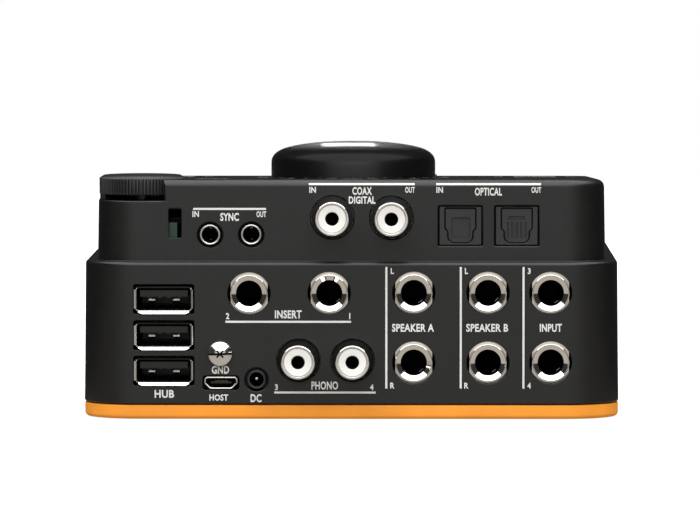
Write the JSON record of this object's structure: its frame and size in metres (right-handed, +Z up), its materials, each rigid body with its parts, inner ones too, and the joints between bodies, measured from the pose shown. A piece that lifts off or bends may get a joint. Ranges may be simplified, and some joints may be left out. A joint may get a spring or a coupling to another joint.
{
  "type": "audio interface",
  "caption": "Square two-tier desktop audio interface on an orange rubber base, with monitor knob, corner thumb-wheel, dials, buttons and rear audio, optical and data sockets.",
  "frame": {"origin": "middle of the bounding box, phono and coaxial shells included, on the surface that the rubber base stands on", "axes": "+Z up, -Y towards the rear connector side, +Y towards the user's side, +X to the right when looking at the connector side"},
  "size_m": [0.1264, 0.1348, 0.0634],
  "materials": {
    "housing": "satin moulded, very fine texture",
    "panel": "semi-gloss with fine printed markings",
    "base_rubber": "soft matt orange",
    "sheet_steel": "nickel-plated sheet",
    "chrome": "bright plated",
    "connector_black": "moulded black",
    "insulator_white": "moulded white",
    "circuit_board": "green solder mask",
    "knob_metal": "turned and black anodised",
    "button_plastic": "satin",
    "fastener": "black plated"
  },
  "bodies": {
    "chassis": {"housing": "housing", "top_panel": "panel", "rubber_base": "base_rubber", "base_plate": "sheet_steel", "usb_shield_1": "sheet_steel", "usb_shield_2": "sheet_steel", "usb_shield_3": "sheet_steel", "micro_port": "sheet_steel", "insert_ferrule_1": "chrome", "insert_ferrule_2": "chrome", "speaker_a_ferrules": "chrome", "speaker_b_ferrules": "chrome", "line_input_ferrules": "chrome", "phono_shell_left": "chrome", "phono_shell_right": "chrome", "coax_shell_in": "chrome", "coax_shell_out": "chrome", "ground_screw": "chrome", "insert_jack_1": "connector_black", "insert_jack_2": "connector_black", "speaker_a_jacks": "connector_black", "speaker_b_jacks": "connector_black", "line_input_jacks": "connector_black", "usb_insulator": "connector_black", "sync_jack_in": "connector_black", "sync_jack_out": "connector_black", "optical_port_in": "connector_black", "optical_port_out": "connector_black", "dc_inlet": "connector_black", "combo_socket_1": "connector_black", "combo_socket_2": "connector_black", "phones_jack_1": "connector_black", "phones_jack_2": "connector_black", "knob_encoder": "connector_black", "wheel_pot": "connector_black", "phono_block": "insulator_white", "coax_block": "insulator_white", "main_board": "circuit_board", "insert_board": "circuit_board", "upper_board": "circuit_board", "wheel_board": "circuit_board", "control_board": "circuit_board", "base_screw_1": "fastener", "base_screw_2": "fastener", "base_screw_3": "fastener", "base_screw_4": "fastener"},
    "monitor_knob": {"main_knob": "knob_metal", "knob_shaft": "sheet_steel"},
    "corner_wheel": {"corner_wheel": "knob_metal"},
    "optical_shutter_in": {"optical_shutter_in": "connector_black"},
    "optical_shutter_out": {"optical_shutter_out": "connector_black"},
    "gain_1_dial": {"gain_1_dial": "knob_metal"},
    "gain_2_dial": {"gain_2_dial": "knob_metal"},
    "phones_1_dial": {"phones_1_dial": "knob_metal"},
    "phones_2_dial": {"phones_2_dial": "knob_metal"},
    "speaker_button": {"speaker_button": "button_plastic"},
    "dim_button": {"dim_button": "button_plastic"},
    "mute_button": {"mute_button": "button_plastic"},
    "mono_button": {"mono_button": "button_plastic"}
  },
  "joints": [
    {"name": "monitor_knob_turn", "type": "hinge", "parent": "chassis", "child": "monitor_knob", "pos_m": [0, 0.00422, 0.058], "axis": [0, 0, 1], "continuous": true},
    {"name": "corner_wheel_turn", "type": "hinge", "parent": "chassis", "child": "corner_wheel", "pos_m": [-0.0497, -0.04548, 0.055], "axis": [0, 0, 1], "range_deg": [-150, 150]},
    {"name": "gain_1_turn", "type": "hinge", "parent": "chassis", "child": "gain_1_dial", "pos_m": [0.045, 0.04423, 0.051], "axis": [0, 0, 1], "range_deg": [-150, 150]},
    {"name": "gain_2_turn", "type": "hinge", "parent": "chassis", "child": "gain_2_dial", "pos_m": [0.045, 0.02022, 0.051], "axis": [0, 0, 1], "range_deg": [-150, 150]},
    {"name": "phones_1_turn", "type": "hinge", "parent": "chassis", "child": "phones_1_dial", "pos_m": [-0.045, 0.04423, 0.051], "axis": [0, 0, 1], "range_deg": [-150, 150]},
    {"name": "phones_2_turn", "type": "hinge", "parent": "chassis", "child": "phones_2_dial", "pos_m": [-0.045, 0.02022, 0.051], "axis": [0, 0, 1], "range_deg": [-150, 150]},
    {"name": "speaker_press", "type": "slide", "parent": "chassis", "child": "speaker_button", "axis": [0, 0, -1], "range_m": [0, 0.0008], "stiffness_N_per_m": 250},
    {"name": "dim_press", "type": "slide", "parent": "chassis", "child": "dim_button", "axis": [0, 0, -1], "range_m": [0, 0.0008], "stiffness_N_per_m": 250},
    {"name": "mute_press", "type": "slide", "parent": "chassis", "child": "mute_button", "axis": [0, 0, -1], "range_m": [0, 0.0008], "stiffness_N_per_m": 250},
    {"name": "mono_press", "type": "slide", "parent": "chassis", "child": "mono_button", "axis": [0, 0, -1], "range_m": [0, 0.0008], "stiffness_N_per_m": 250},
    {"name": "optical_in_flap", "type": "hinge", "parent": "chassis", "child": "optical_shutter_in", "pos_m": [0.0258, -0.05477, 0.0492], "axis": [1, 0, 0], "range_deg": [0, 88], "stiffness_Nm_per_rad": 0.0001},
    {"name": "optical_out_flap", "type": "hinge", "parent": "chassis", "child": "optical_shutter_out", "pos_m": [0.0391, -0.05477, 0.0492], "axis": [1, 0, 0], "range_deg": [0, 88], "stiffness_Nm_per_rad": 0.0001}
  ]
}
